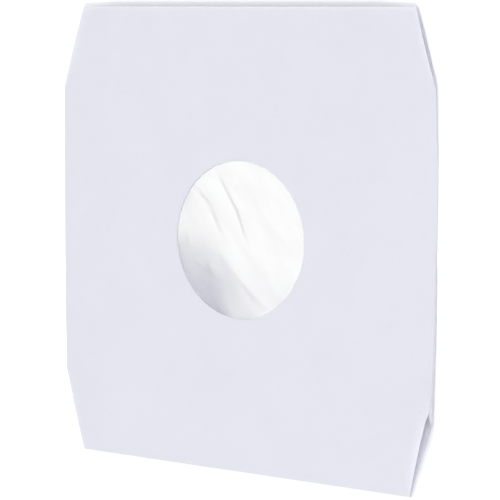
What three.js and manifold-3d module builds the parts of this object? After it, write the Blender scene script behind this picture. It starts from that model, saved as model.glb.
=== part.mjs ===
// Inner sleeve for a 12-inch record, lying on its back: a folded and glued paper sleeve with a round
// window in both panels, and a thin film liner folded inside it.
// Millimetres. X runs from side fold to side fold, +Y to the open mouth, +Z up from the back panel.
import * as THREE from "three";
import { mergeVertices } from "three/addons/utils/BufferGeometryUtils.js";
import Module from "manifold-3d";

// Driving sizes of the paper
const SLEEVE_WIDTH = 305;
const SLEEVE_LENGTH = 310;
const PAPER = 0.12;
const FLAP_WIDTH = 20;
const WINDOW_DIAMETER = 105;
const WINDOW_SHIFT = { x: 1.9, y: 1.1 };

// Corner cuts: how far each one reaches across the end of the sleeve and along its side fold
const CUT_MOUTH_LEFT = { across: 17.8, along: 56 };
const CUT_MOUTH_RIGHT = { across: 15.2, along: 52 };
const CUT_BOTTOM_LEFT = { across: 16, along: 55.5 };
const CUT_BOTTOM_RIGHT = { across: 16.2, along: 54.5 };

// Driving sizes of the film liner, and the clearance that keeps it off the paper
const FILM = 0.05;
const CLEARANCE = 0.3;
const FILM_SIDE_INSET = 6;
const FILM_BOTTOM_INSET = 8;
const FILM_MOUTH_INSET = 1;

// How the empty sleeve stands open. TIP_LEVEL is the height of its four tips off the ground, and the
// other heights are measured from there.
const TIP_LEVEL = 3.5;
const FRONT_RISE = 2.6;
const LEFT_RISE = 1.2;
const FOLD_RADIUS = 0.3;
const SIDE_REACH = 60;
const FRONT_BOTTOM_REACH = 50;
const BACK_BOTTOM_REACH = 90;
const TIP_REACH = 30;
const TIP_OPENNESS = 0.15;

// Heights of the right-hand crease from the bottom fold to the mouth, as pairs of Y and height
const RIGHT_CREASE = [
  [-155, 8.2],
  [-125, 7.1],
  [-105, 6.4],
  [-90, 5.2],
  [-65, 3.5],
  [-40, 1.9],
  [0, 0.2],
  [20, -1.5],
  [55, -1.8],
  [85, 0.1],
  [103, 1.3],
  [155, 1.3],
];

// Low on the right the sleeve stands open like a box, with a side below the crease. Above
// BOX_SIDE_TOP the crease is flat, and below BOX_SIDE_FULL the side is at its full depth.
const BOX_SIDE_TOP = 20;
const BOX_SIDE_FULL = -40;
const BOX_SIDE_RADIUS = 3;
const BOX_SIDE_INSET = 1.3;
const BOX_SIDE_BELLY = 1.2;
const BOX_SIDE_FOOT = [
  [-155, 0],
  [-110, -1.2],
  [-90, -1.3],
  [-65, -2.3],
  [-40, -2.9],
  [20, -2.9],
];

// Fineness of the mesh: the widest step across a panel, and the sides of the round window
const PANEL_STEP = 22;
const WINDOW_SIDES = 72;
const BOX_SIDE_STEPS = 5;
const EDGE_STEPS = [3, 8, 16, 28, 42];

const PAPER_COLOUR = 0xe5e5ee;
const FILM_COLOUR = 0xf7f8fb;

// The middle surface of the paper lies half its thickness inside the outline
const HALF_WIDTH = SLEEVE_WIDTH / 2;
const HALF_LENGTH = SLEEVE_LENGTH / 2;
const FOLD_X = HALF_WIDTH - PAPER / 2;
const BACK_DROP = TIP_LEVEL - FOLD_RADIUS - PAPER / 2;
const FILM_DROP = PAPER / 2 + CLEARANCE + FILM / 2;
const PAST_THE_END = 10;

const clamp01 = (t) => THREE.MathUtils.clamp(t, 0, 1);
const ease = (t) => THREE.MathUtils.smoothstep(t, 0, 1);
const bulge = (t) => 1 - (1 - clamp01(t)) ** 2;
const { lerp } = THREE.MathUtils;

// Smooth value at y between the pairs of a list sorted by y
function along(pairs, y) {
  const last = pairs.length - 1;
  if (y <= pairs[0][0]) return pairs[0][1];
  if (y >= pairs[last][0]) return pairs[last][1];
  const next = pairs.findIndex((pair) => pair[0] > y);
  const [y0, v0] = pairs[next - 1];
  const [y1, v1] = pairs[next];
  return lerp(v0, v1, ease((y - y0) / (y1 - y0)));
}

// 0 where the right-hand side is creased flat, 1 where it stands open like a box
const boxShare = (y) => ease((BOX_SIDE_TOP - y) / (BOX_SIDE_TOP - BOX_SIDE_FULL));

// The panels come together at the two tips of the mouth
function openness(x, y) {
  const cut = x < 0 ? CUT_MOUTH_LEFT : CUT_MOUTH_RIGHT;
  const toTip = Math.hypot(Math.abs(x) - (HALF_WIDTH - cut.across), y - HALF_LENGTH);
  return lerp(TIP_OPENNESS, 1, ease(toTip / TIP_REACH));
}

// Half the gap that the bottom fold's radius leaves between the panels
const foldGap = (y) => FOLD_RADIUS * Math.sqrt(bulge((y + HALF_LENGTH) / FOLD_RADIUS));

// Height of the crease of the right-hand fold, and how far it lies inside the sleeve's width
const creaseHeight = (y) => TIP_LEVEL + bulge((y + HALF_LENGTH) / FRONT_BOTTOM_REACH) * along(RIGHT_CREASE, y);
const creaseX = (y) => FOLD_X - BOX_SIDE_INSET * boxShare(y);

// Height of the middle surface of the front panel
function frontHeight(x, y) {
  const fromLeft = bulge((FOLD_X + x) / SIDE_REACH);
  const fromRight = bulge((FOLD_X - x) / SIDE_REACH);
  const open = FRONT_RISE * fromLeft * fromRight * openness(x, y);
  const edges = LEFT_RISE * (1 - fromLeft) + along(RIGHT_CREASE, y) * (1 - fromRight);
  const fromBottom = bulge((y + HALF_LENGTH) / FRONT_BOTTOM_REACH);
  return TIP_LEVEL + foldGap(y) + fromBottom * (open + edges);
}

// Height of the middle surface of the back panel, which lies flat on the ground away from its edges
function backHeight(x, y) {
  const fromLeft = bulge((FOLD_X + x) / SIDE_REACH);
  const fromRight = bulge((FOLD_X - x) / SIDE_REACH);
  const fromBottom = ease((y + HALF_LENGTH) / BACK_BOTTOM_REACH);
  const open = -BACK_DROP * fromLeft * fromRight * fromBottom * openness(x, y);
  const left = LEFT_RISE * (1 - fromLeft) * fromBottom;
  const foot = lerp(creaseHeight(y) - TIP_LEVEL, along(BOX_SIDE_FOOT, y), boxShare(y));
  return TIP_LEVEL - foldGap(y) + open + left + foot * (1 - fromRight);
}

// Steps across a panel from one edge to the other, finer near both edges
function steps(from, to) {
  const edge = EDGE_STEPS[EDGE_STEPS.length - 1];
  const inner = to - from - 2 * edge;
  const count = Math.max(1, Math.ceil(inner / PANEL_STEP));
  const middle = Array.from({ length: count - 1 }, (_, i) => from + edge + ((i + 1) * inner) / count);
  return [from, ...EDGE_STEPS.map((s) => from + s), ...middle, ...EDGE_STEPS.map((s) => to - s).reverse(), to];
}

const PAPER_STEPS = steps(-FOLD_X + FOLD_RADIUS, FOLD_X - FOLD_RADIUS);

// The right-hand side of the back panel, from the crease to its foot. Each point has its own x and z.
function boxSide(y) {
  const foot = FOLD_X - BOX_SIDE_RADIUS;
  const points = [];
  for (let i = 1; i <= BOX_SIDE_STEPS; i++) {
    const t = i / BOX_SIDE_STEPS;
    const flatX = FOLD_X - BOX_SIDE_RADIUS * t;
    const openX = lerp(creaseX(y), foot, t) + BOX_SIDE_BELLY * Math.sin(Math.PI * t);
    const openZ = lerp(creaseHeight(y), backHeight(foot, y), Math.sin((Math.PI / 2) * t));
    const share = boxShare(y);
    points.push({ x: lerp(flatX, openX, share), z: lerp(backHeight(flatX, y), openZ, share), layers: 2 });
  }
  return points;
}

// One closed section of the folded paper at y: front panel, right fold, back panel, left fold.
// layers is 2 where a side flap is glued over the back panel.
function paperSection(y) {
  const right = creaseX(y);
  const front = PAPER_STEPS.map((x) => lerp(x, x - (FOLD_X - right), (FOLD_X + x) / (2 * FOLD_X)));
  const flapRight = FOLD_X - FLAP_WIDTH;
  const back = steps(-FOLD_X + FOLD_RADIUS, FOLD_X - BOX_SIDE_RADIUS)
    .reverse()
    .slice(1)
    .filter((x) => Math.abs(Math.abs(x) - flapRight) > 2);
  const points = front.map((x) => ({ x, z: frontHeight(x, y), layers: 1 }));
  points.push({ x: right, z: creaseHeight(y), layers: 1 });
  points.push(...boxSide(y));
  const flapEdges = [flapRight + PAPER, flapRight, -flapRight, -flapRight - PAPER];
  const across = [...back, ...flapEdges].sort((a, b) => b - a);
  points.push(...across.map((x) => ({ x, z: backHeight(x, y), layers: Math.abs(x) > flapRight ? 2 : 1 })));
  const left = bulge((y + HALF_LENGTH) / FRONT_BOTTOM_REACH) * LEFT_RISE;
  points.push({ x: -FOLD_X, z: TIP_LEVEL + left, layers: 1 });
  return points;
}

// One closed section of the film at y: front layer, back layer, and the welded sides between them
function filmSection(y) {
  const right = FOLD_X - BOX_SIDE_INSET - FILM_SIDE_INSET;
  const across = steps(-FOLD_X + FILM_SIDE_INSET, right);
  const front = across.map((x) => ({ x, z: frontHeight(x, y) - FILM_DROP, layers: 1 }));
  const back = across.map((x) => ({ x, z: backHeight(x, y) + FILM_DROP, layers: 1 })).reverse();
  return [...front, ...back];
}

// Moves each point of a section along its own normal, outwards for a positive distance. A second
// layer of thickness lies outside the first.
function offsetSection(points, distance, layer) {
  const count = points.length;
  return points.map((point, i) => {
    const before = points[(i + count - 1) % count];
    const after = points[(i + 1) % count];
    const a = new THREE.Vector2(before.z - point.z, point.x - before.x).normalize();
    const b = new THREE.Vector2(point.z - after.z, after.x - point.x).normalize();
    const normal = a.clone().add(b).normalize();
    const miter = Math.min(1.5, 1 / Math.max(0.1, normal.dot(b)));
    const reach = (distance + (point.layers - 1) * layer) * miter;
    return { x: point.x + normal.x * reach, z: point.z + normal.y * reach };
  });
}

// A closed skin through the sections at the stations ys, with a flat cap at each end
function skin(sectionAt, ys, distance, layer) {
  const positions = [];
  ys.forEach((y) => {
    offsetSection(sectionAt(y), distance, layer).forEach((p) => positions.push(p.x, y, p.z));
  });
  const count = positions.length / 3 / ys.length;
  const index = [];
  for (let j = 0; j + 1 < ys.length; j++) {
    for (let i = 0; i < count; i++) {
      const a = j * count + i;
      const b = j * count + ((i + 1) % count);
      index.push(a, b, a + count, b, b + count, a + count);
    }
  }
  const outline = (j) =>
    Array.from({ length: count }, (_, i) => {
      const at = (j * count + i) * 3;
      return new THREE.Vector2(positions[at], positions[at + 2]);
    });
  const cap = (j, flip) => {
    THREE.ShapeUtils.triangulateShape(outline(j), []).forEach(([a, b, c]) => {
      const corners = [a, b, c].map((k) => j * count + k);
      index.push(...(flip ? corners.reverse() : corners));
    });
  };
  cap(0, false);
  cap(ys.length - 1, true);
  const geometry = new THREE.BufferGeometry();
  geometry.setAttribute("position", new THREE.Float32BufferAttribute(positions, 3));
  geometry.setIndex(index);
  return geometry;
}

const wasm = await Module();
wasm.setup();

// A closed geometry as a solid to cut or join
function solid(geometry) {
  const bare = geometry.clone();
  bare.deleteAttribute("normal");
  bare.deleteAttribute("uv");
  const merged = mergeVertices(bare, 1e-4);
  const made = new wasm.Manifold(
    new wasm.Mesh({
      numProp: 3,
      vertProperties: new Float32Array(merged.attributes.position.array),
      triVerts: new Uint32Array(merged.index.array),
    }),
  );
  return made;
}

function geometryOf(body) {
  const mesh = body.getMesh();
  const geometry = new THREE.BufferGeometry();
  geometry.setAttribute("position", new THREE.BufferAttribute(mesh.vertProperties, 3));
  geometry.setIndex(new THREE.BufferAttribute(mesh.triVerts, 1));
  geometry.computeVertexNormals();
  return geometry;
}

// A prism that takes off one corner through every layer. sideX and endY are 1 or -1.
function cornerCutter(cut, sideX, endY) {
  const corner = new THREE.Vector2(sideX * HALF_WIDTH, endY * HALF_LENGTH);
  const onEnd = new THREE.Vector2(corner.x - sideX * cut.across, corner.y);
  const onSide = new THREE.Vector2(corner.x, corner.y - endY * cut.along);
  const run = onEnd.clone().sub(onSide).normalize().multiplyScalar(PAST_THE_END);
  const out = new THREE.Vector2(sideX, endY).multiplyScalar(PAST_THE_END * 3);
  const a = onSide.clone().sub(run);
  const b = onEnd.clone().add(run);
  const shape = new THREE.Shape([a, b, b.clone().add(out), corner.clone().add(out), a.clone().add(out)]);
  const depth = TIP_LEVEL * 2 + 4 * PAST_THE_END;
  const prism = new THREE.ExtrudeGeometry(shape, { depth, bevelEnabled: false });
  prism.translate(0, 0, -2 * PAST_THE_END);
  return solid(prism);
}

const cornerCutters = [
  cornerCutter(CUT_MOUTH_LEFT, -1, 1),
  cornerCutter(CUT_MOUTH_RIGHT, 1, 1),
  cornerCutter(CUT_BOTTOM_LEFT, -1, -1),
  cornerCutter(CUT_BOTTOM_RIGHT, 1, -1),
];

function windowCutter() {
  const radius = WINDOW_DIAMETER / 2;
  const height = 2 * TIP_LEVEL + 4 * PAST_THE_END;
  const punch = new THREE.CylinderGeometry(radius, radius, height, WINDOW_SIDES);
  punch.rotateX(Math.PI / 2);
  punch.translate(WINDOW_SHIFT.x, WINDOW_SHIFT.y, TIP_LEVEL);
  return solid(punch);
}

// A bag with one open end: an outer skin less an inner one that runs out through the mouth
function bag(sectionAt, bottom, mouth, thickness, flapLayer) {
  const stations = steps(bottom, mouth).filter((y) => y > bottom);
  const outerStations = [bottom, bottom + FOLD_RADIUS / 3, bottom + FOLD_RADIUS, ...stations];
  const innerStations = [bottom + thickness, bottom + FOLD_RADIUS, ...stations, mouth + PAST_THE_END];
  const outer = solid(skin(sectionAt, outerStations, thickness / 2, flapLayer));
  const inner = solid(skin(sectionAt, innerStations, -thickness / 2, 0));
  return cornerCutters.reduce((body, cutter) => body.subtract(cutter), outer.subtract(inner));
}

function paperSleeve() {
  return bag(paperSection, -HALF_LENGTH, HALF_LENGTH, PAPER, PAPER).subtract(windowCutter());
}

function filmLiner() {
  const bottom = -HALF_LENGTH + FILM_BOTTOM_INSET;
  return bag(filmSection, bottom, HALF_LENGTH - FILM_MOUTH_INSET, FILM, 0);
}

function piece(name, body, colour, roughness) {
  const material = new THREE.MeshStandardMaterial({ color: colour, roughness, metalness: 0 });
  const mesh = new THREE.Mesh(geometryOf(body), material);
  mesh.name = name;
  return mesh;
}

const sleeve = new THREE.Group();
sleeve.add(piece("paper_sleeve", paperSleeve(), PAPER_COLOUR, 0.85));
sleeve.add(piece("film_liner", filmLiner(), FILM_COLOUR, 0.2));

export default sleeve;
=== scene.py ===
import math

import bmesh
import bpy
from mathutils import Matrix, Vector, noise


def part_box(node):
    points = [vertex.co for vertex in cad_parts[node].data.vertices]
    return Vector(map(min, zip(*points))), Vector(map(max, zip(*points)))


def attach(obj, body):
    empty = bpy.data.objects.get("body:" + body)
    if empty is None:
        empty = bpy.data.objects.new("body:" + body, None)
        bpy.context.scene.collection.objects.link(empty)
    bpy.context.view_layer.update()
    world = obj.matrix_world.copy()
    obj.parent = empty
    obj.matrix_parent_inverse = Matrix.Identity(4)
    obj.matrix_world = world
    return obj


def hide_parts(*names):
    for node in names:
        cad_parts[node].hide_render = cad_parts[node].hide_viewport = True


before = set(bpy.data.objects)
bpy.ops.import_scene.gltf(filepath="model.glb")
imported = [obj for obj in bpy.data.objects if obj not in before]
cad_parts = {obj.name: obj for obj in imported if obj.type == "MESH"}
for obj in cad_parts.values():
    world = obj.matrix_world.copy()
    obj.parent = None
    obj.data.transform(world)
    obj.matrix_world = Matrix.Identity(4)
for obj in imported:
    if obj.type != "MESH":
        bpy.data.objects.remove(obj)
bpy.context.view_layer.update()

bl_info = {
    "name": "Record inner sleeve",
    "version": (1, 0, 0),
    "blender": (4, 5, 0),
    "location": "View3D > Sidebar > Sleeve",
    "description": "Builds a folded paper record sleeve with its film liner, lying open on a pale floor",
    "category": "Add Mesh",
}

PAPER_LOW, PAPER_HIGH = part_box("paper_sleeve")
MM = 0.001

# Distances, in millimetres, at which two points of a flat packet count as one place, and at which
# a point counts as being at a level or on a cut
NEAR = 1e-3
TOUCH = 1e-4

# Folds sharper than this angle stay sharp edges
SHARP = math.radians(38)

# Heights of folds above the level of the four tips, as (y, height) in millimetres. The right-hand
# crease is the upper edge of a box-like side, and its foot is the lower one.
RIGHT_CREASE = (
    (-155, 5.5),
    (-105, 5.5),
    (-98, 3.6),
    (-78, 1.85),
    (-53, 0.0),
    (-27, -0.45),
    (-2, -1.0),
    (20, -1.6),
    (55, -1.8),
    (85, 0.1),
    (103, 1.3),
    (155, 1.3),
)
RIGHT_FOOT = (
    (-155, 0.3),
    (-142, 0.8),
    (-116, 1.2),
    (-108, 0.9),
    (-104, 0.5),
    (-91, 0.1),
    (-78, -0.8),
    (-65, -1.6),
    (-53, -2.4),
    (-40, -2.9),
    (-28, -2.8),
    (-2, -1.9),
    (20, -1.7),
)
LEFT_FOLD = ((-155, 0), (-110, -0.3), (-90, -0.1), (-50, 0.7), (0, 1.1), (155, 1.2))

# Soft waves of the front panel: centre x and y, direction in degrees, length, width and height
FRONT_WAVES = (
    (54, -70, -44, 44, 9, -0.16),
    (70, 52, 8, 46, 9, -0.10),
    (84, 36, 20, 38, 8, 0.09),
    (92, 8, -6, 44, 7, -0.10),
    (102, -8, -14, 34, 6, 0.08),
    (-52, 64, -48, 60, 13, 0.10),
    (-62, 30, -40, 40, 12, -0.10),
    (64, -34, -25, 46, 12, 0.10),
    (-70, 108, -30, 60, 16, -0.08),
    (88, 104, -24, 44, 12, -0.07),
    (104, 128, 20, 30, 10, 0.06),
    (-10, -112, 10, 70, 20, 0.08),
    (-110, -60, 84, 90, 18, -0.07),
    (120, -76, 74, 60, 9, 0.08),
    (138, 5, -32, 22, 2.6, -0.12),
    (139, -43, -38, 20, 5.0, 0.12),
)

# A wave is left out where its exponent is past this
WAVE_END = 9

# Sharp creases of the film inside the window: start and end from its middle, width and height
FILM_CREASES = (
    ((-22, 46), (-3, 17), 1.6, -0.094),
    ((-6, 25), (3, -2), 2.4, -0.099),
    ((-42, 34), (-20, 18), 1.6, -0.064),
    ((-27, 22), (-15, 0), 1.6, -0.063),
    ((4, 20), (45, -10), 3.0, -0.08),
    ((-4, -22), (26, -46), 2.2, 0.018),
    ((-13, -8), (4, -36), 5.0, 0.016),
    ((-46, 8), (-40, -9), 2.0, 0.016),
    ((-27, -12), (-21, -28), 2.0, 0.010),
)


class SleeveSizes(bpy.types.PropertyGroup):
    """Sizes of the folded paper and of the way it stands open"""

    width: bpy.props.FloatProperty(
        name="Width",
        description="From side fold to side fold",
        default=round(PAPER_HIGH[0] - PAPER_LOW[0], 4),
        unit="LENGTH",
    )
    length: bpy.props.FloatProperty(
        name="Length",
        description="From the bottom fold to the mouth",
        default=round(PAPER_HIGH[1] - PAPER_LOW[1], 4),
        unit="LENGTH",
    )
    paper: bpy.props.FloatProperty(
        name="Paper",
        description="Thickness of the paper",
        default=0.12 * MM,
        unit="LENGTH",
        precision=6,
    )
    flap: bpy.props.FloatProperty(
        name="Flap",
        description="Width of the side flaps glued over the back",
        default=20 * MM,
        unit="LENGTH",
    )
    window: bpy.props.FloatProperty(
        name="Window",
        description="Diameter of the round window",
        default=105 * MM,
        unit="LENGTH",
    )
    window_shift: bpy.props.FloatVectorProperty(
        name="Window shift",
        description="How far the window lies from the middle of the sleeve",
        default=(1.9 * MM, 1.1 * MM),
        size=2,
        unit="LENGTH",
    )
    tip_level: bpy.props.FloatProperty(
        name="Tip level",
        description="Height of the four tips off the floor",
        default=3.5 * MM,
        unit="LENGTH",
    )
    front_rise: bpy.props.FloatProperty(
        name="Front rise",
        description="Height of the front panel over the tips",
        default=2.6 * MM,
        unit="LENGTH",
    )
    fold_radius: bpy.props.FloatProperty(
        name="Fold radius",
        description="Inner radius of a fold",
        default=0.3 * MM,
        unit="LENGTH",
        precision=5,
    )


class LinerSizes(bpy.types.PropertyGroup):
    """Sizes of the film liner"""

    film: bpy.props.FloatProperty(
        name="Film",
        description="Thickness of the film",
        default=0.05 * MM,
        unit="LENGTH",
        precision=6,
    )
    clearance: bpy.props.FloatProperty(
        name="Clearance",
        description="Gap between film and paper",
        default=0.3 * MM,
        unit="LENGTH",
        precision=5,
    )
    side_inset: bpy.props.FloatProperty(
        name="Side inset",
        description="From the side folds to the film's sides",
        default=6 * MM,
        unit="LENGTH",
    )
    bottom_inset: bpy.props.FloatProperty(
        name="Bottom inset",
        description="From the bottom fold to the film's fold",
        default=8 * MM,
        unit="LENGTH",
    )
    corner_inset: bpy.props.FloatProperty(
        name="Corner inset",
        description="From the paper's corner cuts to the film's",
        default=6 * MM,
        unit="LENGTH",
    )
    mouth_inset: bpy.props.FloatProperty(
        name="Mouth inset",
        description="From the mouth to the film's edge",
        default=1 * MM,
        unit="LENGTH",
    )


class SleeveColours(bpy.types.PropertyGroup):
    """Colours of paper, film and floor, as scene-linear values. The film's is darkened and tinted blue as
    painted shade of the pocket seen through it.
    """

    paper: bpy.props.FloatVectorProperty(
        name="Paper",
        description="Colour of the paper",
        default=(0.850, 0.843, 0.935),
        size=3,
        subtype="COLOR",
    )
    # The film's colour is its milky tone darkened and tinted blue: painted shade of the shadowed pocket
    # seen through it
    film: bpy.props.FloatVectorProperty(
        name="Film",
        description="Colour of the milky film",
        default=(0.426, 0.425, 0.535),
        size=3,
        subtype="COLOR",
    )
    floor: bpy.props.FloatVectorProperty(
        name="Floor",
        description="Colour of the floor",
        default=(0.93, 0.93, 0.93),
        size=3,
        subtype="COLOR",
    )


def bulge(t):
    """Rises from 0 to 1, steeply at first and level at the end."""
    t = min(max(t, 0.0), 1.0)
    return 1 - (1 - t) ** 2


def ease(t):
    """Rises from 0 to 1, level at both ends."""
    t = min(max(t, 0.0), 1.0)
    return t * t * (3 - 2 * t)


def lerp(a, b, t):
    return a + (b - a) * t


def along(pairs, y):
    """Smooth value at y, in millimetres, between the pairs of a list sorted by y."""
    if y <= pairs[0][0]:
        return pairs[0][1]
    for (y0, v0), (y1, v1) in zip(pairs, pairs[1:]):
        if y < y1:
            return lerp(v0, v1, ease((y - y0) / (y1 - y0)))
    return pairs[-1][1]


def uneven(x, y, height, size, offset):
    """Faint unevenness at (x, y), with bumps of about one height and size."""
    return height * noise.noise(Vector((x / size, y / size, offset)))


class Form:
    """The shape of the empty sleeve. All its sizes are in millimetres."""

    # How far from a side fold, the bottom fold or a tip of the mouth the panels still rise or sink,
    # and how far open the sleeve is at such a tip
    SIDE_REACH = 60
    FRONT_BOTTOM_REACH = 50
    BACK_BOTTOM_REACH = 90
    TIP_REACH = 30
    TIP_OPENNESS = 0.15

    # The box-like right side starts at one y and is full at another. It is made of the edge of the back,
    # which shifts from a little above the bottom fold on, and it leans in and bellies out a little.
    BOX_SIDE_TOP = 25
    BOX_SIDE_FULL = -15
    BOX_SIDE_WIDTH = 2.9
    BOX_SIDE_INSET = 0.35
    BOX_SIDE_BELLY = 0.25
    SHIFT_START = 147
    SHIFT_REACH = 46

    # Share of the side's width over which a closed fold drops to the back
    FLAT_DROP = 0.2

    # How far the outline stays inside its full size
    SLACK = 0.02

    # Strength of the waves of the front panel, its faint unevenness as (height, size, offset), and
    # how far from the folds the waves start
    WAVE = 2.8
    UNEVENNESS = ((0.10, 70, 3.1), (0.035, 24, 8.4))
    CALM_REACH = 14

    # Powers by which a fold's depth fades from the outline inwards
    FOLD_FADE = 8
    BACK_FADE = 10

    # Corner cuts, as how far each goes across and down
    MOUTH_LEFT = (17.8, 56)
    MOUTH_RIGHT = (15.2, 50.5)
    BOTTOM_LEFT = (16, 55.5)
    BOTTOM_RIGHT = (16.2, 56.5)

    def __init__(self, sizes):
        self.half_width = sizes.width / MM / 2
        self.half_length = sizes.length / MM / 2 - self.SLACK
        self.paper = sizes.paper / MM
        self.radius = sizes.fold_radius / MM
        self.tip = sizes.tip_level / MM
        self.front_rise = sizes.front_rise / MM
        self.fold_x = self.half_width - self.paper / 2 - self.SLACK
        self.back_drop = self.tip - self.radius - self.paper / 2
        self.window = sizes.window / MM / 2
        self.centre = Vector((sizes.window_shift[0] / MM, sizes.window_shift[1] / MM))

    def box_share(self, y):
        return ease((self.BOX_SIDE_TOP - y) / (self.BOX_SIDE_TOP - self.BOX_SIDE_FULL))

    def openness(self, x, y):
        """How far open the sleeve is, least at the two tips of its mouth."""
        across = self.MOUTH_LEFT[0] if x < 0 else self.MOUTH_RIGHT[0]
        to_tip = math.hypot(abs(x) - (self.half_width - across), y - self.half_length)
        return lerp(self.TIP_OPENNESS, 1, ease(to_tip / self.TIP_REACH))

    def fold_gap(self, y):
        return self.radius * math.sqrt(bulge((y + self.half_length) / self.radius))

    def crease_height(self, y):
        return self.tip + bulge((y + self.half_length) / self.FRONT_BOTTOM_REACH) * along(RIGHT_CREASE, y)

    def crease_x(self, y):
        return self.fold_x - self.BOX_SIDE_INSET * self.box_share(y)

    def front(self, x, y):
        from_left = bulge((self.fold_x + x) / self.SIDE_REACH)
        from_right = bulge((self.fold_x - x) / self.SIDE_REACH)
        from_bottom = bulge((y + self.half_length) / self.FRONT_BOTTOM_REACH)
        opened = self.front_rise * from_left * from_right * self.openness(x, y)
        edges = along(LEFT_FOLD, y) * (1 - from_left) + along(RIGHT_CREASE, y) * (1 - from_right)
        return self.tip + self.fold_gap(y) + from_bottom * (opened + edges)

    def back(self, x, y):
        from_left = bulge((self.fold_x + x) / self.SIDE_REACH)
        from_right = bulge((self.fold_x - x) / self.SIDE_REACH)
        from_bottom = ease((y + self.half_length) / self.BACK_BOTTOM_REACH)
        opened = -self.back_drop * from_left * from_right * from_bottom * self.openness(x, y)
        left = along(LEFT_FOLD, y) * (1 - from_left) * from_bottom
        foot = lerp(along(RIGHT_CREASE, y), along(RIGHT_FOOT, y), self.box_share(y))
        foot *= bulge((y + self.half_length) / self.FRONT_BOTTOM_REACH)
        return self.tip - self.fold_gap(y) + opened + left + foot * (1 - from_right)

    def back_shift(self, x, y):
        """How far the back has moved to the right, where it gives its edge to the box-like side."""
        standing = self.box_share(y) * ease((y + self.SHIFT_START) / self.SHIFT_REACH)
        across = ease((self.fold_x + x) / (2 * self.fold_x))
        return (self.BOX_SIDE_WIDTH - self.BOX_SIDE_INSET) * standing * across

    def box_side(self, y, t):
        """Point (x, z) of the right-hand side, from the crease at t = 0 to its foot at t = 1."""
        share = self.box_share(y)
        flat_x = self.fold_x - self.BOX_SIDE_WIDTH * t
        flat_z = lerp(self.crease_height(y), self.back(flat_x, y), min(1, t / self.FLAT_DROP))
        open_x = self.crease_x(y) + self.BOX_SIDE_BELLY * math.sin(math.pi * t)
        open_z = lerp(self.crease_height(y), self.back(self.crease_x(y), y), t)
        return lerp(flat_x, open_x, share), lerp(flat_z, open_z, share)

    def waves(self, x, y):
        """Soft waves and the faint unevenness of the front panel."""
        height = 0.0
        for cx, cy, degrees, length, width, rise in FRONT_WAVES:
            turn = math.radians(degrees)
            u = (x - cx) * math.cos(turn) + (y - cy) * math.sin(turn)
            v = (y - cy) * math.cos(turn) - (x - cx) * math.sin(turn)
            reach = (2 * u / length) ** 2 + (v / width) ** 2
            if reach < WAVE_END:
                height += self.WAVE * rise * math.exp(-reach)
        return height + sum(uneven(x, y, *part) for part in self.UNEVENNESS)

    def calm(self, x, y):
        """The waves die out towards the folds."""
        from_side = ease((self.fold_x - abs(x)) / self.CALM_REACH)
        from_bottom = ease((y + self.half_length) / self.CALM_REACH)
        return from_side * from_bottom

    def cuts(self):
        """Each corner cut of the flat packet as a point on it and its outward normal."""
        for (across, down), side, end in (
            (self.MOUTH_LEFT, -1, 1),
            (self.MOUTH_RIGHT, 1, 1),
            (self.BOTTOM_LEFT, -1, -1),
            (self.BOTTOM_RIGHT, 1, -1),
        ):
            point = Vector((side * (self.half_width - across), end * self.half_length, 0))
            normal = Vector((side * down, end * across, 0)).normalized()
            yield point, normal


def rim(bm, axis, value, level):
    """The free edges at one level of a flat packet that lie on one of its straight sides."""
    return [
        edge
        for edge in bm.edges
        if edge.is_boundary
        and all(abs(v.co[axis] - value) < NEAR and abs(v.co.z - level) < NEAR for v in edge.verts)
    ]


def extrude(bm, edges, step):
    """Extrudes edges by one step and returns the new points and the edges between them."""
    grown = bmesh.ops.extrude_edge_only(bm, edges=edges)["geom"]
    verts = [part for part in grown if isinstance(part, bmesh.types.BMVert)]
    bmesh.ops.translate(bm, verts=verts, vec=step)
    ends = set(verts)
    edges = [part for part in grown if isinstance(part, bmesh.types.BMEdge)]
    return verts, [edge for edge in edges if ends.issuperset(edge.verts)]


def new_object(name, mesh, material):
    piece = bpy.data.objects.new(name, mesh)
    bpy.context.scene.collection.objects.link(piece)
    mesh.materials.append(material)
    return piece


def cut_corners(bm, form, inset=0.0):
    """Cuts the corners off a flat packet, some way inside the paper's own cuts."""
    for point, normal in form.cuts():
        bmesh.ops.bisect_plane(
            bm,
            geom=bm.verts[:] + bm.edges[:] + bm.faces[:],
            dist=TOUCH,
            plane_co=point - normal * inset,
            plane_no=normal,
            clear_outer=True,
        )


def thicken(bm, thickness):
    """Gives an open sheet its thickness, half to each side, and keeps its cut edges sharp."""
    bmesh.ops.recalc_face_normals(bm, faces=bm.faces)
    bm.normal_update()
    for vert in bm.verts:
        vert.co += vert.normal * (thickness / 2)
    bm.normal_update()
    bmesh.ops.solidify(bm, geom=bm.faces[:], thickness=thickness)
    bm.normal_update()
    for face in bm.faces:
        face.smooth = True
    for edge in bm.edges:
        edge.smooth = len(edge.link_faces) != 2 or edge.calc_face_angle(0) < SHARP


# Paper: scales of its clouds, mottle and fibres, share of the clouds in its tone, weight of the
# mottle in its relief, grid, rarity, softness, size and tone of its specks, and its own two tones
CLOUD_SCALE = 26
MOTTLE_SCALE = 420
FIBRE_SCALE = 1900
CLOUD_SHARE = 0.55
MOTTLE_RELIEF = 0.6
SPECK_GRID = 95.0
SPECK_RARITY = 0.95
SPECK_EDGE = 1.6
SPECK_SIZE = 0.00028
SPECK_TONE = 0.72
SPECK_STRENGTH = 0.7
PAPER_LIGHT = 1.006
PAPER_DULL = 0.992
PAPER_SHADER = {
    "Specular IOR Level": 0.3,
    "Subsurface Weight": 0.34,
    "Subsurface Radius": (1.0, 1.0, 1.2),
    "Subsurface Scale": 0.0008,
}

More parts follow.
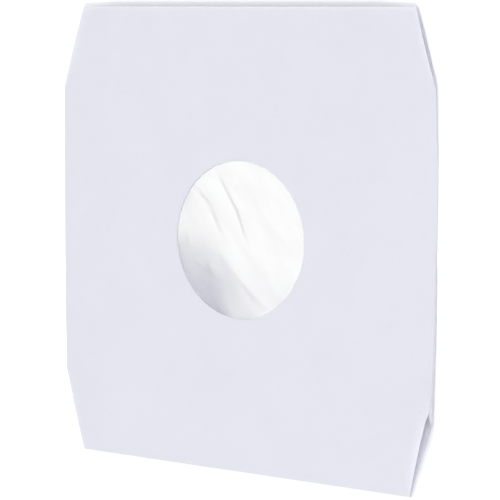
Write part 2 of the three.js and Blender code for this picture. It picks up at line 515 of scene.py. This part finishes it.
# Film: turn and stretch of its haze and streaks, their scales, and its thin and thick tones
HAZE_TURN = (0, 0, -0.93)
HAZE_STRETCH = (1, 0.3, 1)
HAZE_SCALE = 24
STREAK_SCALE = 120
FILM_THIN = 0.965
FILM_THICK = 1.035
FILM_SHADER = {
    "Roughness": 0.09,
    "IOR": 1.6,
    "Specular IOR Level": 0.90,
    "Specular Tint": (1.0, 0.99, 0.82, 1),
    "Alpha": 0.82,
}

# Tone of the floor as the camera sees it, which is pure white where no shadow falls
FLOOR_SEEN = 1.12


def new_group(name, inputs, outputs):
    """A node group with its sockets, and the nodes at its start and end."""
    group = bpy.data.node_groups.new(name, "ShaderNodeTree")
    for socket, kind, value in inputs:
        made = group.interface.new_socket(name=socket, in_out="INPUT", socket_type=kind)
        if value is not None:
            made.default_value = value
    for socket, kind in outputs:
        group.interface.new_socket(name=socket, in_out="OUTPUT", socket_type=kind)
    return group, group.nodes.new("NodeGroupInput"), group.nodes.new("NodeGroupOutput")


def add(tree, kind, **values):
    """Adds a node. A value whose name starts with in_ is set on the input of that name."""
    node = tree.nodes.new(kind)
    for key, value in values.items():
        if key.startswith("in_"):
            name = key.removeprefix("in_").replace("_", " ")
            node.inputs[name].default_value = value
        else:
            setattr(node, key, value)
    return node


def feed(tree, socket, value):
    """Links a socket to another one, or sets it to a plain value."""
    if hasattr(value, "is_linked"):
        tree.links.new(value, socket)
    else:
        socket.default_value = value


def math_node(tree, operation, a, b):
    node = add(tree, "ShaderNodeMath", operation=operation)
    for socket, value in zip(node.inputs, (a, b)):
        feed(tree, socket, value)
    return node.outputs[0]


def ramp_node(tree, value, low, high, to_low=0.0, to_high=1.0):
    """A soft ramp of a value between low and high."""
    node = add(tree, "ShaderNodeMapRange", interpolation_type="SMOOTHSTEP")
    for name, setting in zip(
        ("Value", "From Min", "From Max", "To Min", "To Max"),
        (value, low, high, to_low, to_high),
    ):
        feed(tree, node.inputs[name], setting)
    return node.outputs["Result"]


def noise_node(tree, coordinates, scale, detail=2.0, roughness=0.5):
    node = add(tree, "ShaderNodeTexNoise", in_Scale=scale, in_Detail=detail, in_Roughness=roughness)
    tree.links.new(coordinates, node.inputs["Vector"])
    return node.outputs["Fac"]


def paper_fibre_group():
    """Cloudy tone, fine fibre relief and sparse specks of a cheap white paper."""
    group, start, end = new_group(
        "Paper fibre",
        (("Coordinates", "NodeSocketVector", None), ("Speck size", "NodeSocketFloat", SPECK_SIZE)),
        (("Tone", "NodeSocketFloat"), ("Relief", "NodeSocketFloat"), ("Specks", "NodeSocketFloat")),
    )
    links = group.links
    place = start.outputs["Coordinates"]
    cloud = noise_node(group, place, CLOUD_SCALE, 3)
    mottle = noise_node(group, place, MOTTLE_SCALE, 4, 0.6)
    clouds = math_node(group, "MULTIPLY", cloud, CLOUD_SHARE)
    mottles = math_node(group, "MULTIPLY", mottle, 1 - CLOUD_SHARE)
    links.new(math_node(group, "ADD", clouds, mottles), end.inputs["Tone"])
    fibre = noise_node(group, place, FIBRE_SCALE, 5, 0.65)
    relief = math_node(group, "ADD", fibre, math_node(group, "MULTIPLY", mottle, MOTTLE_RELIEF))
    links.new(relief, end.inputs["Relief"])
    cells = add(group, "ShaderNodeTexVoronoi", in_Scale=SPECK_GRID, in_Randomness=1.0)
    links.new(place, cells.inputs["Vector"])
    chosen = add(group, "ShaderNodeSeparateColor")
    links.new(cells.outputs["Color"], chosen.inputs[0])
    rare = math_node(group, "GREATER_THAN", chosen.outputs[0], SPECK_RARITY)
    reach = math_node(group, "MULTIPLY", start.outputs["Speck size"], SPECK_GRID * SPECK_EDGE)
    near = ramp_node(group, cells.outputs["Distance"], reach, 0.0)
    links.new(math_node(group, "MULTIPLY", rare, near), end.inputs["Specks"])
    return group


def new_material(name):
    material = bpy.data.materials.new(name)
    material.use_nodes = True
    shader = material.node_tree.nodes["Principled BSDF"]
    return material, material.node_tree, shader


def mix_colour(tree, factor, a, b):
    node = add(tree, "ShaderNodeMix", data_type="RGBA")
    for socket, value in ((node.inputs[0], factor), (node.inputs[6], a), (node.inputs[7], b)):
        feed(tree, socket, value)
    return node.outputs[2]


def toned(colour, share):
    """A colour made lighter or darker, with its alpha."""
    return [*[min(1.0, c * share) for c in colour], 1]


def paper_material(colour, fibre):
    material, tree, shader = new_material("White sleeve paper")
    place = add(tree, "ShaderNodeTexCoord")
    group = add(tree, "ShaderNodeGroup", node_tree=fibre)
    tree.links.new(place.outputs["Object"], group.inputs["Coordinates"])
    tone = ramp_node(tree, group.outputs["Tone"], 0.36, 0.64)
    base = mix_colour(tree, tone, toned(colour, PAPER_DULL), toned(colour, PAPER_LIGHT))
    specks = math_node(tree, "MULTIPLY", group.outputs["Specks"], SPECK_STRENGTH)
    base = mix_colour(tree, specks, base, toned(colour, SPECK_TONE))
    tree.links.new(base, shader.inputs["Base Color"])
    roughness = ramp_node(tree, group.outputs["Tone"], 0.3, 0.7, to_low=0.62, to_high=0.72)
    tree.links.new(roughness, shader.inputs["Roughness"])
    for name, value in PAPER_SHADER.items():
        shader.inputs[name].default_value = value
    bump = add(tree, "ShaderNodeBump", in_Strength=0.22, in_Distance=0.00004)
    tree.links.new(group.outputs["Relief"], bump.inputs["Height"])
    tree.links.new(bump.outputs["Normal"], shader.inputs["Normal"])
    return material


def film_material(colour):
    material, tree, shader = new_material("Liner film with painted shade")
    place = add(tree, "ShaderNodeTexCoord")
    turned = add(
        tree,
        "ShaderNodeMapping",
        vector_type="TEXTURE",
        in_Rotation=HAZE_TURN,
        in_Scale=HAZE_STRETCH,
    )
    tree.links.new(place.outputs["Object"], turned.inputs["Vector"])
    # Base colour: the milky film darkened and tinted blue as painted shade of the pocket behind it, varied
    # at random by the haze
    tone = ramp_node(tree, noise_node(tree, turned.outputs["Vector"], HAZE_SCALE, 3), 0.32, 0.68)
    base = mix_colour(tree, tone, toned(colour, FILM_THIN), toned(colour, FILM_THICK))
    tree.links.new(base, shader.inputs["Base Color"])
    for name, value in FILM_SHADER.items():
        shader.inputs[name].default_value = value
    streak = noise_node(tree, turned.outputs["Vector"], STREAK_SCALE, 3, 0.55)
    bump = add(tree, "ShaderNodeBump", in_Strength=0.12, in_Distance=0.0001)
    tree.links.new(streak, bump.inputs["Height"])
    tree.links.new(bump.outputs["Normal"], shader.inputs["Normal"])
    return material


def floor_material(colour):
    material, tree, shader = new_material("Pale floor")
    path = add(tree, "ShaderNodeLightPath")
    seen = [FLOOR_SEEN, FLOOR_SEEN, FLOOR_SEEN, 1]
    base = mix_colour(tree, path.outputs["Is Camera Ray"], [*colour, 1], seen)
    tree.links.new(base, shader.inputs["Base Color"])
    shader.inputs["Roughness"].default_value = 0.9
    shader.inputs["Specular IOR Level"].default_value = 0.1
    return material


class SLEEVE_OT_paper(bpy.types.Operator):
    """Folds the paper sleeve from one sheet and cuts its window and corners"""

    bl_idname = "sleeve.paper"
    bl_label = "Paper sleeve"

    # Rings of faces from the window's edge to the sheet's outline, how much closer they are at both
    # ends, and steps along each side of the outline
    RINGS = 44
    RING_CROWDING = 0.8
    LONG_STEPS = 72

    # Levels of the parts of the flat packet; its front panel is at level 0
    BACK_LEVEL = -1.0
    FLAP_LEVEL = 1.0

    # Rows of faces round each fold and across a flap
    BOTTOM_ROWS = 5
    LEFT_ROWS = 5
    RIGHT_ROWS = 12
    FLAP_ROWS = 5

    # Those of the right-hand rows that turn round its crease
    CREASE_ROWS = 3

    def execute(self, context):
        scene = context.scene
        form = Form(scene.sleeve_sizes)
        bm = bmesh.new()
        self.flat_panel(bm, form)
        copy = bmesh.ops.duplicate(bm, geom=bm.verts[:] + bm.edges[:] + bm.faces[:])["geom"]
        back = [part for part in copy if isinstance(part, bmesh.types.BMVert)]
        bmesh.ops.translate(bm, verts=back, vec=(0, 0, self.BACK_LEVEL))
        self.bottom_rows(bm, form)
        flap = scene.sleeve_sizes.flap / MM
        self.side_rows(bm, form, -1, self.LEFT_ROWS, form.radius, flap)
        self.side_rows(bm, form, 1, self.RIGHT_ROWS, form.BOX_SIDE_WIDTH, flap)
        self.give_folds(form, back)
        cut_corners(bm, form)
        for vert in bm.verts:
            vert.co = Vector(self.open_point(form, *vert.co)) * MM
        thicken(bm, scene.sleeve_sizes.paper)
        mesh = bpy.data.meshes.new("paper_sheet")
        bm.to_mesh(mesh)
        bm.free()
        material = paper_material(scene.sleeve_colours.paper, paper_fibre_group())
        piece = new_object("paper_sheet", mesh, material)
        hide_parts("paper_sleeve")
        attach(piece, "root")
        return {"FINISHED"}

    def flat_panel(self, bm, form):
        """A flat panel: the window's circle, extruded ring by ring out to the sheet's rectangle."""
        x, y = form.fold_x, form.half_length
        corners = (Vector((x, -y)), Vector((x, y)), Vector((-x, y)), Vector((-x, -y)))
        outline = []
        for i, corner in enumerate(corners):
            after = corners[(i + 1) % 4]
            outline.extend(corner.lerp(after, k / self.LONG_STEPS) for k in range(self.LONG_STEPS))
        circle = bmesh.ops.create_circle(bm, cap_ends=False, segments=len(outline), radius=form.window)
        window = [(point - form.centre).normalized() * form.window + form.centre for point in outline]
        for vert, point in zip(circle["verts"], window):
            vert.co.xy = point
        edges = bm.edges[:]
        for k in range(self.RINGS):
            here, there = self.ring_share(k), self.ring_share(k + 1)
            places = {self.key(a.lerp(b, here)): a.lerp(b, there) for a, b in zip(window, outline)}
            grown, edges = extrude(bm, edges, (0, 0, 0))
            for vert in grown:
                vert.co.xy = places[self.key(vert.co)]

    def ring_share(self, k):
        """How far out ring k lies; the rings are closer at the window and at the outline."""
        share = k / self.RINGS
        return share - self.RING_CROWDING * math.sin(2 * math.pi * share) / (2 * math.pi)

    def key(self, point):
        """A place rounded to a thousandth of a millimetre, to find a point by it."""
        return round(point.x, 3), round(point.y, 3)

    def give_folds(self, form, back):
        """The edges of the back draw in, because the side folds take some of its width."""
        for vert in back:
            depth = form.BOX_SIDE_WIDTH + form.radius if vert.co.x > 0 else form.radius
            vert.co.x -= math.copysign(depth * (vert.co.x / form.fold_x) ** form.BACK_FADE, vert.co.x)

    def bottom_rows(self, bm, form):
        """The rows of the bottom fold, which joins the two panels."""
        edges = rim(bm, 1, -form.half_length, 0)
        back = rim(bm, 1, -form.half_length, self.BACK_LEVEL)
        for _ in range(1, self.BOTTOM_ROWS):
            edges = extrude(bm, edges, (0, 0, self.BACK_LEVEL / self.BOTTOM_ROWS))[1]
        bmesh.ops.bridge_loops(bm, edges=edges + back)

    def side_rows(self, bm, form, side, count, depth, flap):
        """The rows of a side fold, which takes some depth of the back, and of the flap behind it."""
        edges = rim(bm, 0, side * form.fold_x, 0)
        for _ in range(count):
            edges = extrude(bm, edges, (-side * depth / count, 0, self.FLAP_LEVEL / count))[1]
        for _ in range(self.FLAP_ROWS):
            edges = extrude(bm, edges, (-side * (flap - depth) / self.FLAP_ROWS, 0, self.FLAP_LEVEL))[1]

    def open_point(self, form, x, y, level):
        """Where a point of the flat packet comes to lie. Its level tells its part of the sheet."""
        if abs(level) < TOUCH:
            return self.front_point(form, x, y)
        if abs(level - self.BACK_LEVEL) < TOUCH:
            return self.back_point(form, x, y)
        if level < 0:
            return self.bottom_point(form, x, level / self.BACK_LEVEL)
        if level > self.FLAP_LEVEL + TOUCH:
            return self.flap_point(form, x, y)
        if x > 0:
            return self.right_point(form, y, level / self.FLAP_LEVEL)
        return self.left_point(form, y, level / self.FLAP_LEVEL)

    def front_point(self, form, x, y):
        y = self.above_fold(form, y)
        z = form.front(x, y) + form.waves(x, y) * form.calm(x, y)
        if x > 0:
            inset = form.fold_x - form.crease_x(y) + form.radius
            return x - inset * (form.fold_x + x) / (2 * form.fold_x), y, z
        return x + form.radius * (x / form.fold_x) ** form.FOLD_FADE, y, z

    def back_point(self, form, x, y):
        y = self.above_fold(form, y)
        x += form.back_shift(x, y)
        return x, y, form.back(x, y)

    def above_fold(self, form, y):
        """The y of a panel's point, drawn up a little by the bottom fold."""
        to_fold = (form.half_length - y) / (2 * form.half_length)
        return y + (form.paper / 2 + form.radius) * to_fold**form.FOLD_FADE

    def bottom_point(self, form, x, share):
        _, y, top = self.front_point(form, x, -form.half_length)
        low = form.back(x, y)
        angle = math.pi * (0.5 - share)
        y -= form.radius * math.cos(angle)
        return x, y, (top + low) / 2 + (top - low) / 2 * math.sin(angle)

    def left_point(self, form, y, share):
        _, y, top = self.front_point(form, -form.fold_x, y)
        x = form.radius - form.fold_x
        low = form.back(x, y) - form.paper
        angle = math.pi * (0.5 - share)
        x -= form.radius * math.cos(angle)
        return x, y, (top + low) / 2 + (top - low) / 2 * math.sin(angle)

    def right_point(self, form, y, share):
        x, y, top = self.front_point(form, form.fold_x, y)
        turn = self.CREASE_ROWS / self.RIGHT_ROWS
        if share < turn:
            angle = math.pi / 2 * (1 - share / turn)
            crease = form.crease_height(y)
            x += form.radius * math.cos(angle)
            return x, y, crease + (top - crease) * math.sin(angle)
        share = (share - turn) / (1 - turn)
        x, z = form.box_side(y, share)
        return x, y, z - form.paper * share

    def flap_point(self, form, x, y):
        x, y, z = self.back_point(form, x, y)
        return x, y, z - form.paper


class SLEEVE_OT_liner(bpy.types.Operator):
    """Makes the thin film liner inside the paper"""

    bl_idname = "sleeve.liner"
    bl_label = "Film liner"

    # Steps across the window, and from its edge to each side of the film
    FINE_STEPS = 84
    COARSE_STEPS = 18

    # Sizes in millimetres: how far the fine steps reach past the window, the room that the right side
    # of the film leaves, the film's own unevenness as (height, size, offset) and its lift off the back
    WINDOW_MARGIN = 3
    RIGHT_ROOM = 1.3
    BACK_UNEVENNESS = (0.08, 30, 5.0)
    BACK_LIFT = 0.05
    FRONT_UNEVENNESS = (0.03, 34, 1.7)
    FRONT_DROP = 0.02

    # How close the film comes to the paper, where that starts and how far it takes, and how far it
    # leans to the left
    CLOSEST = 0.93
    CLOSE_FROM = 40
    CLOSE_REACH = 60
    CLOSE_LEAN = 0.5

    # How far the creases reach past the window, and how far it and their own ends soften them
    CREASE_MARGIN = 2
    CREASE_REACH = 14
    CREASE_END = 8

    def execute(self, context):
        scene = context.scene
        form = Form(scene.sleeve_sizes)
        sizes = scene.liner_sizes
        bm = bmesh.new()
        count = self.FINE_STEPS + 2 * self.COARSE_STEPS
        bmesh.ops.create_grid(bm, x_segments=count, y_segments=count, size=1)
        inset = sizes.side_inset / MM
        low = Vector((-form.fold_x + inset, -form.half_length + sizes.bottom_inset / MM))
        high = Vector((form.fold_x - self.RIGHT_ROOM - inset, form.half_length - sizes.mouth_inset / MM))
        for vert in bm.verts:
            x = self.spread(vert.co.x, low.x, high.x, form.centre.x, form.window)
            y = self.spread(vert.co.y, low.y, high.y, form.centre.y, form.window)
            vert.co = (x, y, 1)
        self.join_sides(bm, low.x, high.x)
        cut_corners(bm, form, sizes.corner_inset / MM)
        drop = (sizes.film / 2 + sizes.clearance + scene.sleeve_sizes.paper / 2) / MM
        for vert in bm.verts:
            x, y, level = vert.co
            near = (drop - sizes.clearance / MM * self.closeness(form, x, y)) - self.wrinkles(form, x, y)
            front = form.front(x, y) + form.waves(x, y) * form.calm(x, y) - near
            back = form.back(x, y) + drop + uneven(x, y, *self.BACK_UNEVENNESS) + self.BACK_LIFT
            vert.co = Vector((x, y, lerp(back, front, (level + 1) / 2))) * MM
        thicken(bm, sizes.film)
        mesh = bpy.data.meshes.new("film_bag")
        bm.to_mesh(mesh)
        bm.free()
        piece = new_object("film_bag", mesh, film_material(scene.sleeve_colours.film))
        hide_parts("film_liner")
        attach(piece, "root")
        return {"FINISHED"}

    def spread(self, value, low, high, centre, window):
        """Turns an even grid from -1 to 1 into one that is fine over the window."""
        count = self.FINE_STEPS + 2 * self.COARSE_STEPS
        step = (value + 1) / 2 * count
        start = centre - window - self.WINDOW_MARGIN
        end = centre + window + self.WINDOW_MARGIN
        if step < self.COARSE_STEPS:
            return lerp(low, start, step / self.COARSE_STEPS)
        if step > count - self.COARSE_STEPS:
            return lerp(end, high, (step - count + self.COARSE_STEPS) / self.COARSE_STEPS)
        return lerp(start, end, (step - self.COARSE_STEPS) / self.FINE_STEPS)

    def join_sides(self, bm, left, right):
        """Doubles the flat panel at level 1 by one at level -1 and joins them along both sides."""
        panel = bm.verts[:] + bm.edges[:] + bm.faces[:]
        copy = bmesh.ops.duplicate(bm, geom=panel)["geom"]
        behind = [part for part in copy if isinstance(part, bmesh.types.BMVert)]
        bmesh.ops.translate(bm, verts=behind, vec=(0, 0, -2))
        for x in (left, right):
            edges = rim(bm, 0, x, 1) + rim(bm, 0, x, -1)
            bridged = bmesh.ops.bridge_loops(bm, edges=edges)
            across = [e for e in bridged["edges"] if abs(e.verts[0].co.z - e.verts[1].co.z) > 1]
            bmesh.ops.subdivide_edges(bm, edges=across, cuts=2, use_grid_fill=True)

    def closeness(self, form, x, y):
        """The film touches the paper along the lower left of the window and hangs free at its top."""
        spot = Vector((x, y)) - form.centre
        return self.CLOSEST * ease((self.CLOSE_FROM - spot.y - self.CLOSE_LEAN * spot.x) / self.CLOSE_REACH)

    def wrinkles(self, form, x, y):
        """Slack film: gentle waves and a few fine creases in the window, calm under the paper."""
        spot = Vector((x, y)) - form.centre
        inside = ease((form.window + self.CREASE_MARGIN - spot.length) / self.CREASE_REACH)
        height = uneven(x, y, *self.FRONT_UNEVENNESS)
        if inside > 0:
            for start, end, width, rise in FILM_CREASES:
                a = Vector(start)
                b = Vector(end)
                reach = (b - a).length
                u = (spot - a).dot(b - a) / reach
                v = (spot - a).cross(b - a) / reach
                fade = ease(u / self.CREASE_END) * ease((reach - u) / self.CREASE_END)
                height += inside * rise * fade * math.exp(-((v / width) ** 2))
        return height - self.FRONT_DROP


class SLEEVE_OT_stage(bpy.types.Operator):
    """Sets the pale floor, the soft light and the camera"""

    bl_idname = "sleeve.stage"
    bl_label = "Stage"

    # The camera's angles round the sleeve in degrees, its distance and target, and its lens and
    # sensor in millimetres
    YAW = 36.633
    PITCH = 5.758
    ROLL = 0.219
    DISTANCE = 1.53393
    TARGET = Vector((0.008308, -0.005166, 0.0035))
    LENS = 166.95
    SENSOR = 36.0

    # The soft box: one of its edges is mirrored across the film, between two points of it
    BOX_HEIGHT = 2.6
    BOX_SIZE = 1.12
    BOX_POWER = 28.0
    BOX_EDGE = ((-0.050, -0.008), (-0.002, -0.053))

    # The even light all round, a little bluish
    WORLD_LIGHT = 0.35
    WORLD_COLOUR = (0.88, 0.92, 1, 1)

    # Half the floor's side, and how far it lies below the sleeve
    FLOOR_REACH = 30
    FLOOR_DROP = 0.0002

    # The fill lights, aimed at the sleeve, as (place, power)
    FILLS = (((1.75, -1.5, 2.8), 60.0), ((0.9, 1.9, 2.7), 28.0))

    def execute(self, context):
        scene = context.scene
        self.floor(scene)
        self.camera(scene)
        self.light(scene)
        scene.view_settings.view_transform = "Standard"
        return {"FINISHED"}

    def floor(self, scene):
        bm = bmesh.new()
        bmesh.ops.create_grid(bm, x_segments=1, y_segments=1, size=self.FLOOR_REACH)
        mesh = bpy.data.meshes.new("floor")
        bm.to_mesh(mesh)
        bm.free()
        floor = new_object("floor", mesh, floor_material(scene.sleeve_colours.floor))
        floor.location.z = -self.FLOOR_DROP

    def directions(self):
        """The camera's right, up and back."""
        yaw, pitch, roll = (math.radians(a) for a in (self.YAW, self.PITCH, self.ROLL))
        back = Vector((math.sin(yaw) * math.cos(pitch), math.sin(pitch), math.cos(yaw) * math.cos(pitch)))
        right = Vector((math.cos(yaw), 0, -math.sin(yaw)))
        up = back.cross(right)
        return (
            math.cos(roll) * right + math.sin(roll) * up,
            math.cos(roll) * up - math.sin(roll) * right,
            back,
        )

    def camera(self, scene):
        right, up, back = self.directions()
        data = bpy.data.cameras.new("camera")
        data.sensor_width = self.SENSOR
        data.lens = self.LENS
        data.clip_end = 100
        camera = bpy.data.objects.new("camera", data)
        scene.collection.objects.link(camera)
        turn = Matrix((right, up, back)).transposed().to_4x4()
        camera.matrix_world = Matrix.Translation(self.TARGET + back * self.DISTANCE) @ turn
        scene.camera = camera

    def mirrored(self, x, y):
        """Where a ray from the camera, mirrored at (x, y) of the level film, reaches the box."""
        right, up, back = self.directions()
        eye = self.TARGET + back * self.DISTANCE
        share = self.BOX_HEIGHT / eye.z
        return Vector((x + (x - eye.x) * share, y + (y - eye.y) * share, self.BOX_HEIGHT))

    def lamp(self, scene, name, power, size, place, turn):
        data = bpy.data.lights.new(name, "AREA")
        data.shape = "SQUARE"
        data.size = size
        data.energy = power
        lamp = bpy.data.objects.new(name, data)
        scene.collection.objects.link(lamp)
        lamp.location = place
        lamp.rotation_euler = turn

    def light(self, scene):
        """A level soft box, two fills and an even light all round."""
        start, end = (self.mirrored(*point) for point in self.BOX_EDGE)
        edge = (end - start).normalized()
        inward = Vector((-edge.y, edge.x, 0))
        middle = (start + end) / 2 + inward * self.BOX_SIZE / 2
        turn = (0, 0, math.atan2(edge.y, edge.x))
        self.lamp(scene, "soft box", self.BOX_POWER, self.BOX_SIZE, middle, turn)
        for place, power in self.FILLS:
            turn = Vector(place).to_track_quat("Z", "Y").to_euler()
            self.lamp(scene, "fill", power, self.BOX_SIZE, place, turn)
        world = bpy.data.worlds.new("studio")
        scene.world = world
        world.use_nodes = True
        self.world_nodes(world.node_tree)

    def world_nodes(self, tree):
        """The camera sees plain white, and the sleeve gets a softer light."""
        ground = tree.nodes["Background"]
        ground.inputs["Strength"].default_value = self.WORLD_LIGHT
        ground.inputs["Color"].default_value = self.WORLD_COLOUR
        seen = add(tree, "ShaderNodeBackground", in_Strength=1.0, in_Color=(1, 1, 1, 1))
        path = add(tree, "ShaderNodeLightPath")
        mix = add(tree, "ShaderNodeMixShader")
        tree.links.new(path.outputs["Is Camera Ray"], mix.inputs[0])
        tree.links.new(ground.outputs[0], mix.inputs[1])
        tree.links.new(seen.outputs[0], mix.inputs[2])
        tree.links.new(mix.outputs[0], tree.nodes["World Output"].inputs["Surface"])


class SLEEVE_PT_panel(bpy.types.Panel):
    """Lists the steps that build the sleeve"""

    bl_idname = "SLEEVE_PT_panel"
    bl_label = "Record inner sleeve"
    bl_space_type = "VIEW_3D"
    bl_region_type = "UI"
    bl_category = "Sleeve"

    def draw(self, context):
        layout = self.layout
        for group in (context.scene.sleeve_sizes, context.scene.liner_sizes, context.scene.sleeve_colours):
            for name in group.bl_rna.properties.keys():
                if name not in {"rna_type", "name"}:
                    layout.prop(group, name)
        for operator in OPERATORS:
            layout.operator(operator.bl_idname)


OPERATORS = (SLEEVE_OT_stage, SLEEVE_OT_paper, SLEEVE_OT_liner)
CLASSES = (SleeveSizes, LinerSizes, SleeveColours, *OPERATORS, SLEEVE_PT_panel)


def register():
    for cls in CLASSES:
        bpy.utils.register_class(cls)
    bpy.types.Scene.sleeve_sizes = bpy.props.PointerProperty(type=SleeveSizes)
    bpy.types.Scene.liner_sizes = bpy.props.PointerProperty(type=LinerSizes)
    bpy.types.Scene.sleeve_colours = bpy.props.PointerProperty(type=SleeveColours)


def unregister():
    del bpy.types.Scene.sleeve_colours
    del bpy.types.Scene.liner_sizes
    del bpy.types.Scene.sleeve_sizes
    for cls in reversed(CLASSES):
        bpy.utils.unregister_class(cls)


def main():
    register()
    bpy.ops.sleeve.stage()
    bpy.ops.sleeve.paper()
    bpy.ops.sleeve.liner()


if __name__ == "__main__":
    main()
